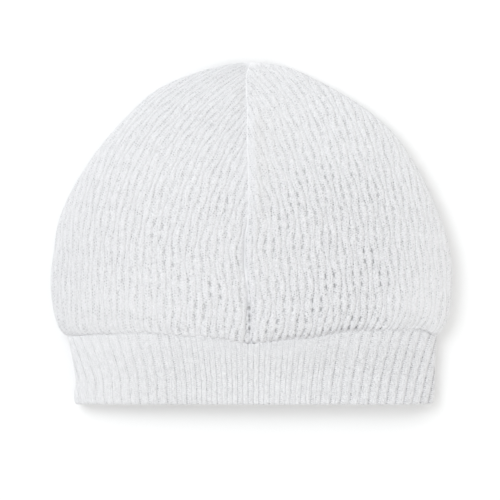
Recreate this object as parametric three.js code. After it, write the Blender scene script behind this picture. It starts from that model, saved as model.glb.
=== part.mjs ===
// A newborn's beanie in white cotton knit, lying flat on its back.
// Two crown panels of openwork rib meet in a centre seam that runs from the front edge of the
// band over the top of the head to the back edge. A doubled 2x2 rib band goes round the opening.
// Millimetres, +Z up. The beanie lies on z = 0, +Y runs from the opening to the top of the crown
// and +X to the right of the wearer's front panel as it faces up.
import * as THREE from 'three';

// ---- driving dimensions -------------------------------------------------------------------
const TOTAL_LENGTH = 144.1;      // opening edge to the top of the crown
const CROWN_WALL = 1.6;          // openwork rib, one layer
const BAND_WALL = 2.4;           // fine rib knit folded double
const SEAM_GAP = 0.3;            // clearance between pieces that are sewn together
const RIB_COUNT = 76;            // raised ribs round the whole band
const RIB_RELIEF = 0.8;          // depth of the channels between the ribs
const RIB_SPREAD = 0.11;         // ribs stand this share wider apart at the middle than at the sides
const RIB_LEAN = { left: 0.085, right: 0.13 };  // how far the front ribs fan out to the top
const RIM_ROUND = 1.2;           // radius of the folded opening edge
const BAND_TOP = 29.0;           // plain height of the band, at the back

// ---- section tables -----------------------------------------------------------------------
// One row for each cross section. fromRim: distance from the opening edge. left, right: half
// widths. top: height of the upper side. fold: height of the side folds. under: height of the
// under side. roll: width of the rounding from the side fold to the flat under side.
// seam: how far the front seam strays from the middle.
const CROWN_SECTIONS = [
  { fromRim: 29.0, left: 77.9, right: 78.4, top: 14.8, fold: 6.2, under: 0, roll: 7.5, seam: -0.6 },
  { fromRim: 30.8, left: 80.0, right: 79.9, top: 16.2, fold: 6.6, under: 0, roll: 8.5, seam: -0.8 },
  { fromRim: 34.5, left: 82.0, right: 82.2, top: 17.1, fold: 7.0, under: 0, roll: 9.5, seam: -0.9 },
  { fromRim: 42.0, left: 83.8, right: 84.0, top: 17.9, fold: 7.4, under: 0, roll: 10.5, seam: -1.0 },
  { fromRim: 52.0, left: 84.6, right: 84.6, top: 18.7, fold: 7.6, under: 0, roll: 11, seam: -2.0 },
  { fromRim: 64.0, left: 83.3, right: 83.8, top: 19.4, fold: 7.8, under: 0, roll: 11, seam: -3.2 },
  { fromRim: 77.0, left: 81.2, right: 80.2, top: 19.8, fold: 7.8, under: 0, roll: 11, seam: -1.7 },
  { fromRim: 90.0, left: 75.8, right: 74.9, top: 19.6, fold: 7.6, under: 0, roll: 10.5, seam: -1.1 },
  { fromRim: 103.0, left: 67.8, right: 67.8, top: 18.6, fold: 7.2, under: 0, roll: 10, seam: -1.5 },
  { fromRim: 114.5, left: 58.9, right: 59.6, top: 17.0, fold: 6.6, under: 0, roll: 9, seam: -1.8 },
  { fromRim: 124.6, left: 49.3, right: 48.0, top: 14.8, fold: 6.0, under: 0, roll: 8, seam: -1.7 },
  { fromRim: 132.0, left: 40.9, right: 36.4, top: 12.4, fold: 5.4, under: 0, roll: 7, seam: -2.2 },
  { fromRim: 137.5, left: 29.8, right: 26.0, top: 10.0, fold: 5.0, under: 0.2, roll: 6, seam: -2.2 },
  { fromRim: 141.5, left: 18.1, right: 17.3, top: 7.8, fold: 4.6, under: 1.0, roll: 5, seam: -1.2 },
  { fromRim: 143.5, left: 8.2, right: 8.6, top: 6.2, fold: 4.3, under: 2.4, roll: 3.5, seam: -0.4 },
  { fromRim: TOTAL_LENGTH, left: 0, right: 0, top: 4.2, fold: 4.2, under: 4.2, roll: 0, seam: 0 },
];

const BAND_SECTIONS = [
  { fromRim: 0, left: 74.4, right: 76.6, top: 12.0, fold: 5.3, under: 0, roll: 6 },
  { fromRim: 4.0, left: 74.8, right: 77.1, top: 12.3, fold: 5.4, under: 0, roll: 6 },
  { fromRim: 9.5, left: 74.1, right: 77.3, top: 12.7, fold: 5.5, under: 0, roll: 6.5 },
  { fromRim: 16.0, left: 74.9, right: 77.5, top: 13.3, fold: 5.7, under: 0, roll: 6.5 },
  { fromRim: 23.0, left: 76.2, right: 77.8, top: 14.0, fold: 6.0, under: 0, roll: 7 },
  { fromRim: 30.0, left: 77.6, right: 78.1, top: 14.6, fold: 6.2, under: 0, roll: 7.5 },
];

// The line where the band is sewn to the crown, across the front: it dips at the centre seam.
const EDGE_LINE = [
  { across: -80, fromRim: 28.6 },
  { across: -62, fromRim: 29.6 },
  { across: -47, fromRim: 30.3 },
  { across: -22, fromRim: 28.7 },
  { across: -1, fromRim: 26.1 },
  { across: 20, fromRim: 28.2 },
  { across: 42, fromRim: 31.4 },
  { across: 68, fromRim: 31.5 },
  { across: 80, fromRim: 30.2 },
];
const EDGE_REACH = 16;           // how far up the crown that line is felt
const SIDE_BLEND = 14;           // front shapes turn plain within this distance of a side fold

// Puffs and dents of the upper side: a row each, with its middle, half lengths and rise.
// Close to the sewn edge they fade out over the first FOLD_FADE of the crown.
const FOLD_FADE = 5;
const FOLDS = [
  { name: 'hollow left of the seam', across: -12, fromRim: 98, wide: 8, long: 18, rise: -0.5 },
  { name: 'swell of the left side', across: -25, fromRim: 92, wide: 8, long: 24, rise: 0.4 },
  { name: 'hollow right of the seam', across: 11, fromRim: 84, wide: 6, long: 30, rise: -0.4 },
  { name: 'swell of the right side', across: 30, fromRim: 95, wide: 10, long: 26, rise: 0.4 },
  { name: 'gathered puff over the band', across: 30, fromRim: 42, wide: 8, long: 7, rise: 0.8 },
  { name: 'valley beside the puff', across: 52, fromRim: 44, wide: 6, long: 14, rise: -0.6 },
  { name: 'swell by the right fold', across: 67, fromRim: 52, wide: 8, long: 22, rise: 0.4 },
  { name: 'puff at the foot of the seam', across: 10, fromRim: 34, wide: 8, long: 4, rise: 0.6 },
  { name: 'dent of the right shoulder', across: 33, fromRim: 131, wide: 9, long: 7, rise: -0.6 },
];

// The front seam: how deep it draws the cloth in, and how far the right side stands proud of it.
const SEAM_RELIEF = [
  { fromRim: 26, depth: 1.2, ridge: 0.2 },
  { fromRim: 34, depth: 2.0, ridge: 0.2 },
  { fromRim: 50, depth: 1.8, ridge: 0.3 },
  { fromRim: 64, depth: 1.5, ridge: 0.4 },
  { fromRim: 78, depth: 0.9, ridge: 1.0 },
  { fromRim: 110, depth: 0.8, ridge: 1.4 },
  { fromRim: 124, depth: 1.3, ridge: 1.0 },
  { fromRim: 138, depth: 1.0, ridge: 0.5 },
  { fromRim: TOTAL_LENGTH, depth: 0, ridge: 0 },
];
const SEAM_WIDTH = 2.4;          // half width of the drawn-in line
const RIDGE_OFFSET = 3.2;        // the proud side runs this far right of the seam
const RIDGE_WIDTH = 2.6;         // its half width

// ---- how finely the cloth is faceted ------------------------------------------------------
const FRONT_COLUMNS = 18;        // from the front seam to the side fold
const BACK_COLUMNS = 12;         // from the side fold to the back seam
const CROWN_COLUMNS = FRONT_COLUMNS + BACK_COLUMNS;
const CROWN_ROWS = 24;           // from the band to the top
const COLUMNS_PER_RIB = 3;       // crest, crest, channel
const BAND_COLUMNS = RIB_COUNT * COLUMNS_PER_RIB;
const CURVE_SAMPLES = 120;       // points used to measure along half a cross section
const LEAST_REACH = 1;           // keeps the front seam's start measurable next to the top

// The upper side is a flat-topped dome, with these exponents across its width and towards its
// height, and a low roof: that share of the rise slopes straight from the middle to the folds.
const CROWN_DOME = { across: 4.5, upward: 2.2, roof: 0.25 };
const BAND_DOME = { across: 4.5, upward: 2.2, roof: 0.15 };

// ---- reading the tables -------------------------------------------------------------------
// A smooth value between rows. At a closed end the value carries on through to the other side,
// so that the surface meets the end square.
function smoothRow(rows, key, place, closesAt = null) {
  const last = rows.length - 1;
  const index = Math.min(Math.floor(place), last - 1);
  const t = place - index;
  const value = (i) => {
    if (i < 0) return 2 * rows[0][key] - rows[1][key];
    if (i <= last) return rows[i][key];
    return closesAt === null ? 2 * rows[last][key] - rows[last - 1][key] : closesAt(rows, key);
  };
  const [a, b, c, d] = [value(index - 1), value(index), value(index + 1), value(index + 2)];
  const slopeIn = (c - a) / 2;
  const slopeOut = (d - b) / 2;
  const t2 = t * t;
  const t3 = t2 * t;
  return (2 * t3 - 3 * t2 + 1) * b + (t3 - 2 * t2 + t) * slopeIn
    + (3 * t2 - 2 * t3) * c + (t3 - t2) * slopeOut;
}

// Past the top the crown comes back on its other side: widths turn round, the length mirrors.
function pastTheTop(rows, key) {
  const end = rows[rows.length - 1];
  const before = rows[rows.length - 2];
  if (key === 'fromRim') return before.fromRim;
  return 2 * end[key] - before[key];
}

function crownSection(place) {
  const read = (key) => smoothRow(CROWN_SECTIONS, key, place, pastTheTop);
  const section = { fromRim: read('fromRim'), seam: read('seam'), ...CROWN_DOME };
  section.left = Math.max(read('left'), 0);
  section.right = Math.max(read('right'), 0);
  section.under = Math.max(read('under'), 0);
  section.fold = Math.max(read('fold'), section.under);
  section.top = Math.max(read('top'), section.fold);
  section.roll = Math.max(read('roll'), 0);
  return section;
}

// A smooth value from a table whose rows lie at uneven places along one of its columns.
function between(rows, along, key, at) {
  const last = rows.length - 1;
  if (at <= rows[0][along]) return rows[0][key];
  if (at >= rows[last][along]) return rows[last][key];
  let i = 0;
  while (rows[i + 1][along] < at) i += 1;
  const t = (at - rows[i][along]) / (rows[i + 1][along] - rows[i][along]);
  return THREE.MathUtils.lerp(rows[i][key], rows[i + 1][key], t * t * (3 - 2 * t));
}

function bandSection(fromRim) {
  const section = { fromRim, seam: 0, ...BAND_DOME };
  const last = BAND_SECTIONS.length - 1;
  let i = 0;
  while (i < last - 1 && BAND_SECTIONS[i + 1].fromRim < fromRim) i += 1;
  const step = BAND_SECTIONS[i + 1].fromRim - BAND_SECTIONS[i].fromRim;
  const place = i + (fromRim - BAND_SECTIONS[i].fromRim) / step;
  for (const key of ['left', 'right', 'top', 'fold', 'under', 'roll']) {
    section[key] = smoothRow(BAND_SECTIONS, key, place);
  }
  return section;
}

// ---- one cross section --------------------------------------------------------------------
// Height of the upper side at x: the dome, from one side fold to the other, with its low roof.
function upperHeight(section, x) {
  const half = x < 0 ? section.left : section.right;
  if (half === 0) return section.top;
  const share = Math.min(Math.abs(x) / half, 1);
  const dome = (1 - share ** section.across) ** (1 / section.upward);
  const rise = THREE.MathUtils.lerp(dome, 1 - share, section.roof);
  return section.fold + (section.top - section.fold) * rise;
}

// The upper half of a section, from the front seam to one side fold. side is -1 for the left
// half and 1 for the right half.
function upperLine(section, side) {
  const half = side < 0 ? section.left : section.right;
  const other = side < 0 ? section.right : section.left;
  const start = side * section.seam;
  const startAngle = Math.asin(start / Math.max(start < 0 ? other : half, LEAST_REACH));
  const points = [];
  for (let i = 0; i <= CURVE_SAMPLES; i += 1) {
    const angle = THREE.MathUtils.lerp(startAngle, Math.PI / 2, i / CURVE_SAMPLES);
    const reach = angle < 0 ? other : half;
    const x = side * reach * Math.sin(angle);
    points.push({ x, z: upperHeight(section, x) });
  }
  return points;
}

// The under half, from that side fold to the middle of the flat under side.
function underLine(section, side) {
  const half = side < 0 ? section.left : section.right;
  const roll = Math.min(section.roll, half);
  const points = [];
  for (let i = 0; i <= CURVE_SAMPLES / 2; i += 1) {
    const angle = (Math.PI * i) / CURVE_SAMPLES;
    const x = side * (half - roll * (1 - Math.cos(angle)));
    points.push({ x, z: section.fold - (section.fold - section.under) * Math.sin(angle) });
  }
  points.push({ x: 0, z: section.under });
  return points;
}

// The point at a share of the length of a polyline, 0 to 1.
function walk(points, share) {
  const lengths = [0];
  for (let i = 1; i < points.length; i += 1) {
    const step = Math.hypot(points[i].x - points[i - 1].x, points[i].z - points[i - 1].z);
    lengths.push(lengths[i - 1] + step);
  }
  const target = share * lengths[lengths.length - 1];
  let i = 1;
  while (i < points.length - 1 && lengths[i] < target) i += 1;
  const span = lengths[i] - lengths[i - 1];
  const t = span > 0 ? Math.min((target - lengths[i - 1]) / span, 1) : 0;
  return {
    x: THREE.MathUtils.lerp(points[i - 1].x, points[i].x, t),
    z: THREE.MathUtils.lerp(points[i - 1].z, points[i].z, t),
  };
}

// 1 well inside the upper side, 0 on the side folds and the whole under side.
function frontShare(section, x, z) {
  if (z < section.fold) return 0;
  const half = x < 0 ? section.left : section.right;
  return THREE.MathUtils.smoothstep(half - Math.abs(x), 0, SIDE_BLEND);
}

// How far the sewn edge of the front lies from the plain height of the band.
function edgeShift(section, x, z) {
  const line = between(EDGE_LINE, 'across', 'fromRim', x);
  return (line - BAND_TOP) * frontShare(section, x, z);
}

function foldRise(x, y) {
  let rise = 0;
  for (const fold of FOLDS) {
    const u = (x - fold.across) / fold.wide;
    const v = (y - fold.fromRim) / fold.long;
    rise += fold.rise * Math.exp(-(u * u + v * v));
  }
  return rise;
}

function seamRise(x, y, seam) {
  const depth = between(SEAM_RELIEF, 'fromRim', 'depth', y);
  const ridge = between(SEAM_RELIEF, 'fromRim', 'ridge', y);
  const groove = ((x - seam) / SEAM_WIDTH) ** 2;
  const proud = ((x - seam - RIDGE_OFFSET) / RIDGE_WIDTH) ** 2;
  return ridge * Math.exp(-proud) - depth * Math.exp(-groove);
}

// ---- closed walls of cloth ----------------------------------------------------------------
// Joins a ring of grids into one closed mesh. Points are shared, so the walls have no cracks.
class Wall {
  constructor() {
    this.positions = [];
    this.faces = [];
  }

  point(p) {
    this.positions.push(p.x, p.y, p.z);
    return this.positions.length / 3 - 1;
  }

  quad(a, b, c, d) {
    this.triangle(a, b, c);
    this.triangle(a, c, d);
  }

  triangle(a, b, c) {
    if (a !== b && b !== c && c !== a) this.faces.push(a, b, c);
  }

  geometry() {
    const geometry = new THREE.BufferGeometry();
    geometry.setAttribute('position', new THREE.Float32BufferAttribute(this.positions, 3));
    geometry.setIndex(this.faces);
    geometry.computeVertexNormals();
    return geometry;
  }
}

function clothMesh(name, wall, colour) {
  const cotton = new THREE.MeshStandardMaterial({ color: colour, roughness: 0.95, metalness: 0 });
  const mesh = new THREE.Mesh(wall.geometry(), cotton);
  mesh.name = name;
  return mesh;
}

// ---- crown panels -------------------------------------------------------------------------
// Columns of the upper side lie closer together beside the front seam.
function seamward(t) {
  return (2 * t + t * t) / 3;
}

// The outer face of one panel, as rows of points from the front seam to the back seam.
function panelFace(side) {
  const rows = [];
  for (let row = 0; row <= CROWN_ROWS; row += 1) {
    const place = ((CROWN_SECTIONS.length - 1) * row) / CROWN_ROWS;
    const section = crownSection(place);
    const upper = upperLine(section, side);
    const under = underLine(section, side);
    const fade = 1 - THREE.MathUtils.smoothstep(section.fromRim - BAND_TOP, 0, EDGE_REACH);
    const points = [];
    for (let column = 0; column <= CROWN_COLUMNS; column += 1) {
      const { x, z } = column < FRONT_COLUMNS
        ? walk(upper, seamward(column / FRONT_COLUMNS))
        : walk(under, (column - FRONT_COLUMNS) / BACK_COLUMNS);
      const y = section.fromRim + fade * edgeShift(section, x, z);
      const front = frontShare(section, x, z);
      const calm = THREE.MathUtils.smoothstep(section.fromRim - BAND_TOP, 0, FOLD_FADE);
      const rise = (calm * foldRise(x, y) + seamRise(x, y, section.seam)) * front;
      points.push(new THREE.Vector3(x + (side * SEAM_GAP) / 2, y, Math.max(z + rise, 0)));
    }
    rows.push(points);
  }
  return rows;
}

// Outward direction of the cloth at one point of a panel. It stays in the seam along the seams
// and in the sewn edge along the band, so that those edges of the wall lie true.
function panelNormal(rows, row, column, side) {
  if (row === CROWN_ROWS) return new THREE.Vector3(0, 1, 0);
  const here = rows[row];
  const across = new THREE.Vector3().subVectors(
    here[Math.min(column + 1, CROWN_COLUMNS)], here[Math.max(column - 1, 0)]);
  const along = new THREE.Vector3().subVectors(
    rows[row + 1][column], rows[Math.max(row - 1, 0)][column]);
  const normal = new THREE.Vector3().crossVectors(across, along).multiplyScalar(side);
  if (column === 0 || column === CROWN_COLUMNS) normal.x = 0;
  if (row === 0) normal.y = 0;
  return normal.normalize();
}

// Adds one face of a panel to the wall, sunk below the outer face by depth, and gives back the
// point numbers. All columns of the last row meet in one point, at the top.
function addPanelFace(wall, rows, side, depth) {
  return rows.map((points, row) => {
    let topPoint = null;
    return points.map((point, column) => {
      if (topPoint !== null) return topPoint;
      const sunk = panelNormal(rows, row, column, side).multiplyScalar(-depth);
      const id = wall.point(sunk.add(point));
      if (row === CROWN_ROWS) topPoint = id;
      return id;
    });
  });
}

function crownPanel(name, side, colour) {
  const rows = panelFace(side);
  const wall = new Wall();
  const outer = addPanelFace(wall, rows, side, 0);
  const inner = addPanelFace(wall, rows, side, CROWN_WALL);
  const face = (a, b, c, d) => (side > 0 ? wall.quad(a, b, c, d) : wall.quad(d, c, b, a));
  const end = CROWN_COLUMNS;
  for (let row = 0; row < CROWN_ROWS; row += 1) {
    const next = row + 1;
    for (let column = 0; column < end; column += 1) {
      const beside = column + 1;
      face(outer[row][column], outer[row][beside], outer[next][beside], outer[next][column]);
      face(inner[row][beside], inner[row][column], inner[next][column], inner[next][beside]);
    }
    face(outer[row][0], outer[next][0], inner[next][0], inner[row][0]);
    face(outer[next][end], outer[row][end], inner[row][end], inner[next][end]);
  }
  for (let column = 0; column < end; column += 1) {
    const beside = column + 1;
    face(outer[0][beside], outer[0][column], inner[0][column], inner[0][beside]);
  }
  return clothMesh(name, wall, colour);
}

// ---- rib band -----------------------------------------------------------------------------
// Once round the wall of the band: down the outside, round the folded edge and up the inside.
// up: share of the height of the band. inset: depth below the outer face. ribs: share of relief.
const BAND_PROFILE = [
  { up: 1, inset: 0, ribs: 0.5 },
  { up: 0.8, inset: 0, ribs: 0.9 },
  { up: 0.45, inset: 0, ribs: 1 },
  { up: 0.14, inset: 0, ribs: 1 },
  { up: RIM_ROUND * 0.3 / BAND_TOP, inset: RIM_ROUND * 0.3, ribs: 0.8 },
  { up: 0, inset: BAND_WALL / 2, ribs: 0.3 },
  { up: RIM_ROUND * 0.6 / BAND_TOP, inset: BAND_WALL, ribs: 0 },
  { up: 0.5, inset: BAND_WALL, ribs: 0 },
  { up: 1, inset: BAND_WALL, ribs: 0 },
];

// The point of the plain band surface at a share of the way round: 0 at the front, 0.25 at the
// right side, 0.5 at the back.
function bandPoint(section, turn) {
  const side = turn <= 0.5 ? 1 : -1;
  const share = side > 0 ? turn * 2 : (1 - turn) * 2;
  const outline = [...upperLine(section, side), ...underLine(section, side)];
  const { x, z } = walk(outline, share);
  return new THREE.Vector3(x, section.fromRim, z);
}

// Where a rib runs: wider apart in the middle of each face, and fanned out towards the top.
function leanTurn(turn, up) {
  const spread = RIB_SPREAD * Math.sin(4 * Math.PI * turn) / (4 * Math.PI);
  const lean = turn < 0.5 ? RIB_LEAN.right : RIB_LEAN.left;
  const fan = lean * Math.sin(2 * Math.PI * turn) / (2 * Math.PI);
  return turn + spread + fan * (up ** 1.4 - 0.4);
}

function wrap(turn) {
  return ((turn % 1) + 1) % 1;
}

// Relief of the ribs round the band, 0 on a crest and 1 in a channel.
function channel(column) {
  return column % COLUMNS_PER_RIB === COLUMNS_PER_RIB - 1 ? 1 : 0;
}

// One point of the ribbed wall: column counts round the band, step is a row of BAND_PROFILE.
function ribPoint(column, step) {
  const section = bandSection(step.up * BAND_TOP);
  const turn = leanTurn(column / BAND_COLUMNS, step.up);
  const nudge = 0.5 / BAND_COLUMNS;
  const here = bandPoint(section, wrap(turn));
  const before = bandPoint(section, wrap(turn - nudge));
  const after = bandPoint(section, wrap(turn + nudge));
  const outward = new THREE.Vector3(before.z - after.z, 0, after.x - before.x).normalize();
  const depth = step.inset + channel(column) * step.ribs * RIB_RELIEF;
  const point = here.clone().addScaledVector(outward, -depth);
  point.y += step.up * (edgeShift(section, here.x, here.z) - SEAM_GAP);
  point.z = Math.max(point.z, 0);
  return point;
}

function ribBand(name, colour) {
  const wall = new Wall();
  const rings = BAND_PROFILE.map((step) => {
    const ring = [];
    for (let column = 0; column < BAND_COLUMNS; column += 1) {
      ring.push(wall.point(ribPoint(column, step)));
    }
    return ring;
  });
  for (let i = 0; i < rings.length; i += 1) {
    const ring = rings[i];
    const next = rings[(i + 1) % rings.length];
    for (let column = 0; column < BAND_COLUMNS; column += 1) {
      const beside = (column + 1) % BAND_COLUMNS;
      wall.quad(ring[column], next[column], next[beside], ring[beside]);
    }
  }
  return clothMesh(name, wall, colour);
}

// ---- the beanie ---------------------------------------------------------------------------
const beanie = new THREE.Group();
beanie.add(crownPanel('crown_left', -1, 0xeceef0));
beanie.add(crownPanel('crown_right', 1, 0xeaebed));
beanie.add(ribBand('rib_band', 0xe8e9ea));
beanie.position.y = -TOTAL_LENGTH / 2;

export default beanie;
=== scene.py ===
# %% [markdown]
# # A newborn's knitted beanie, lying flat
#
# The real thing is sewn from three pieces of white cotton knit. Two crown panels of openwork rib
# meet in a seam over the head, and a band of finer rib, folded double, is sewn round the opening.
# The frame fixes every size. This lesson dresses it: each piece becomes a fine mesh that follows
# the same sections, and Geometry Nodes knit the ridges, eyelets and ribs into it.

# %% Load the frame
import math
from functools import partialmethod

import bpy
import numpy as np
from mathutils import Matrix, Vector


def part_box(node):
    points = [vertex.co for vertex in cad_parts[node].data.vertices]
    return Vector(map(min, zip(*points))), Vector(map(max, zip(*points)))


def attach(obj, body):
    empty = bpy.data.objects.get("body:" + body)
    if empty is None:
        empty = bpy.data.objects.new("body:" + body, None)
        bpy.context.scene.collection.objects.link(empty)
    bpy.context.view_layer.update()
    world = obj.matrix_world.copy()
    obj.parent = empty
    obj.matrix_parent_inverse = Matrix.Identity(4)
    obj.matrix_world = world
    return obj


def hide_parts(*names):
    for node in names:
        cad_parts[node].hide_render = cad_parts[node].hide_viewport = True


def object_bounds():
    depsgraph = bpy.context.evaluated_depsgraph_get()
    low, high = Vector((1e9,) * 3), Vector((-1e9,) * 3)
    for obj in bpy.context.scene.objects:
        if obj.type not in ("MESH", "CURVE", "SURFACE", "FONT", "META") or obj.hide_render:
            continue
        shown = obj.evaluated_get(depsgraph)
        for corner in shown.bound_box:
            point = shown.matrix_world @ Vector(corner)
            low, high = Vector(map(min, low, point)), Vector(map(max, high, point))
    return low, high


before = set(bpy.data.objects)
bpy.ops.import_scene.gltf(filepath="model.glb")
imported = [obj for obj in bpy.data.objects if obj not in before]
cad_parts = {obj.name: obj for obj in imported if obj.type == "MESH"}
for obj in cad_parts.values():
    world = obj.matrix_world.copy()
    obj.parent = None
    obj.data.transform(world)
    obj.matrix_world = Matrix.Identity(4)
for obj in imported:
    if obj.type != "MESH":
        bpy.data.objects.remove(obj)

cad_bounds = [list(corner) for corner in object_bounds()]
print("CAD box, metres:", cad_bounds)

# %% [markdown]
# ## Where things are
#
# Everything below is written in millimetres from the opening edge, the way a pattern cutter would
# measure it. One function turns that into metres in the frame.

# %% Sizes read from the frame
MM = 0.001
RIM_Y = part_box("rib_band")[0][1]
TOTAL_LENGTH = (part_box("crown_left")[1][1] - RIM_Y) / MM
BAND_TOP = 29.0
SIDES = {-1: "left", 1: "right"}


def in_frame(points_mm):
    """Millimetres from the opening edge as metres in the frame."""
    points = np.array(points_mm, float) * MM
    points[..., 1] += RIM_Y
    return points


print(f"opening edge at y = {RIM_Y:.4f} m, {TOTAL_LENGTH:.1f} mm long")

# %% [markdown]
# ## The shape of the cloth
#
# A soft thing like this could be sculpted, or dropped on the table as a cloth simulation. Cross
# sections hold it to size more surely: how wide and how high the cloth stands at each distance
# from the opening. The rows are those of the plain solids, so the fine mesh lies on the same
# surface, and a smooth curve through them shows no bends.

# %% Section tables


def table(names, *rows):
    """Rows of numbers as named columns."""
    columns = np.array(rows, float).T
    return dict(zip(names.split(), columns))


CROWN_SECTIONS = table(
    "from_rim left right top fold under roll seam",
    (29.0, 77.9, 78.4, 14.8, 6.2, 0, 7.5, -0.6),
    (30.8, 80.0, 79.9, 16.2, 6.6, 0, 8.5, -0.8),
    (34.5, 82.0, 82.2, 17.1, 7.0, 0, 9.5, -0.9),
    (42.0, 83.8, 84.0, 17.9, 7.4, 0, 10.5, -1.0),
    (52.0, 84.6, 84.6, 18.7, 7.6, 0, 11, -2.0),
    (64.0, 83.3, 83.8, 19.4, 7.8, 0, 11, -3.2),
    (77.0, 81.2, 80.2, 19.8, 7.8, 0, 11, -1.7),
    (90.0, 75.8, 74.9, 19.6, 7.6, 0, 10.5, -1.1),
    (103.0, 67.8, 67.8, 18.6, 7.2, 0, 10, -1.5),
    (114.5, 58.9, 59.6, 17.0, 6.6, 0, 9, -1.8),
    (124.6, 49.3, 48.0, 14.8, 6.0, 0, 8, -1.7),
    (132.0, 40.9, 36.4, 12.4, 5.4, 0, 7, -2.2),
    (137.5, 29.8, 26.0, 10.0, 5.0, 0.2, 6, -2.2),
    (141.5, 18.1, 17.3, 7.8, 4.6, 1.0, 5, -1.2),
    (143.5, 8.2, 8.6, 6.2, 4.3, 2.4, 3.5, -0.4),
    (TOTAL_LENGTH, 0, 0, 4.2, 4.2, 4.2, 0, 0),
)
BAND_SECTIONS = table(
    "from_rim left right top fold under roll",
    (0, 74.4, 76.6, 12.0, 5.3, 0, 6),
    (4.0, 74.8, 77.1, 12.3, 5.4, 0, 6),
    (9.5, 74.1, 77.3, 12.7, 5.5, 0, 6.5),
    (16.0, 74.9, 77.5, 13.3, 5.7, 0, 6.5),
    (23.0, 76.2, 77.8, 14.0, 6.0, 0, 7),
    (30.0, 77.6, 78.1, 14.6, 6.2, 0, 7.5),
)
print("crown sections:", len(CROWN_SECTIONS["top"]), "band sections:", len(BAND_SECTIONS["top"]))

# %% Smooth values between rows
TRIAL_PLACES = np.linspace(0, len(CROWN_SECTIONS["top"]) - 1, 400)


def smooth_rows(sections, key, place):
    """A smooth curve through the rows; place counts rows and may fall between two."""
    rows = sections[key]
    after = rows[-2] if rows[-1] == TOTAL_LENGTH else 2 * rows[-1] - rows[-2]
    guarded = np.concatenate([[2 * rows[0] - rows[1]], rows, [after]])
    index = np.clip(np.floor(place).astype(int), 0, len(rows) - 2)
    t = place - index
    a, b, c, d = (guarded[index + k] for k in range(4))
    slope_in = (c - a) / 2
    slope_out = (d - b) / 2
    t2 = t * t
    t3 = t2 * t
    return (
        (2 * t3 - 3 * t2 + 1) * b + (t3 - 2 * t2 + t) * slope_in
        + (3 * t2 - 2 * t3) * c + (t3 - t2) * slope_out
    )


def ease(value, low, high):
    """0 at low, 1 at high, smooth in between."""
    t = np.clip((value - low) / (high - low), 0, 1)
    return t * t * (3 - 2 * t)


def between(rows, at, key=None):
    """The second or a named column, at places of the first column."""
    first, second = list(rows)[:2]
    places, values = rows[first], rows[key or second]
    index = np.clip(np.searchsorted(places, at) - 1, 0, len(places) - 2)
    t = ease(at, places[index], places[index + 1])
    return values[index] * (1 - t) + values[index + 1] * t


def crown_half(side, from_rim):
    """Half width of the crown on one side, at distances from the opening."""
    heights = smooth_rows(CROWN_SECTIONS, "from_rim", TRIAL_PLACES)
    return np.interp(from_rim, heights, smooth_rows(CROWN_SECTIONS, SIDES[side], TRIAL_PLACES))


print(f"half width 100 mm up: {crown_half(-1, 100.0):.1f} mm")

# %% [markdown]
# ## One cross section
#
# Cut across, the hat is a low dome over a flat under side, with a round fold at each side. A
# circle would be too high and a box too hard, so the dome is a rounded curve with a touch of roof.
# Each line runs from the front seam to the back seam, as the cloth does.

# %% The line of a section
CROWN_DOME = {"across": 4.5, "upward": 2.2, "roof": 0.25}
BAND_DOME = {"across": 4.5, "upward": 2.2, "roof": 0.15}
CURVE_SAMPLES = 160


def crown_section(place):
    """The crown's table at one place, with its dome."""
    section = {key: float(smooth_rows(CROWN_SECTIONS, key, place)) for key in CROWN_SECTIONS}
    for key in ("left", "right", "under", "roll"):
        section[key] = max(section[key], 0.0)
    section["fold"] = max(section["fold"], section["under"])
    section["top"] = max(section["top"], section["fold"])
    return {**section, **CROWN_DOME}


def band_section(from_rim):
    """The band's table at one distance from the opening, with its dome."""
    places = BAND_SECTIONS["from_rim"]
    place = np.interp(from_rim, places, np.arange(len(places)))
    section = {key: float(smooth_rows(BAND_SECTIONS, key, place)) for key in BAND_SECTIONS}
    return {**section, "from_rim": from_rim, "seam": 0.0, **BAND_DOME}


def half_at(section, x):
    """The half width on the side where each x lies."""
    return np.where(x < 0, section["left"], section["right"])


def upper_height(section, x):
    """Height of the upper side: a flat-topped dome with a low roof."""
    share = np.minimum(np.abs(x) / np.maximum(half_at(section, x), 1e-6), 1)
    dome = (1 - share ** section["across"]) ** (1 / section["upward"])
    rise = dome * (1 - section["roof"]) + (1 - share) * section["roof"]
    return section["fold"] + (section["top"] - section["fold"]) * rise


def upper_line(section, side):
    """The upper side, from the front seam to one side fold."""
    half, other = section[SIDES[side]], section[SIDES[-side]]
    start = side * section["seam"]
    start_angle = math.asin(start / max(other if start < 0 else half, 1.0))
    angle = np.linspace(start_angle, math.pi / 2, CURVE_SAMPLES + 1)
    x = side * np.where(angle < 0, other, half) * np.sin(angle)
    return np.stack([x, upper_height(section, x)], axis=1)


def under_line(section, side):
    """The under side, from that fold to the middle."""
    half = section[SIDES[side]]
    roll = min(section["roll"], half)
    angle = np.linspace(0, math.pi / 2, CURVE_SAMPLES // 2 + 1)
    x = side * (half - roll * (1 - np.cos(angle)))
    z = section["fold"] - (section["fold"] - section["under"]) * np.sin(angle)
    x = np.append(x, 0.0)
    z = np.append(z, section["under"])
    return np.stack([x, z], axis=1)


def lengths_along(points, axis=0):
    """The length of each line of points up to every point of it."""
    steps = np.linalg.norm(np.diff(points, axis=axis), axis=-1)
    return np.insert(np.cumsum(steps, axis=axis), 0, 0.0, axis=axis)


def walk(line, shares):
    """Points at shares of the length of a line."""
    lengths = lengths_along(line)
    target = np.asarray(shares) * lengths[-1]
    return np.stack([np.interp(target, lengths, line[:, k]) for k in (0, 1)], axis=1)


ways = [lengths_along(line(crown_section(5.0), -1))[-1] for line in (upper_line, under_line)]
print(f"from seam to seam round one side: {sum(ways):.0f} mm")

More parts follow.
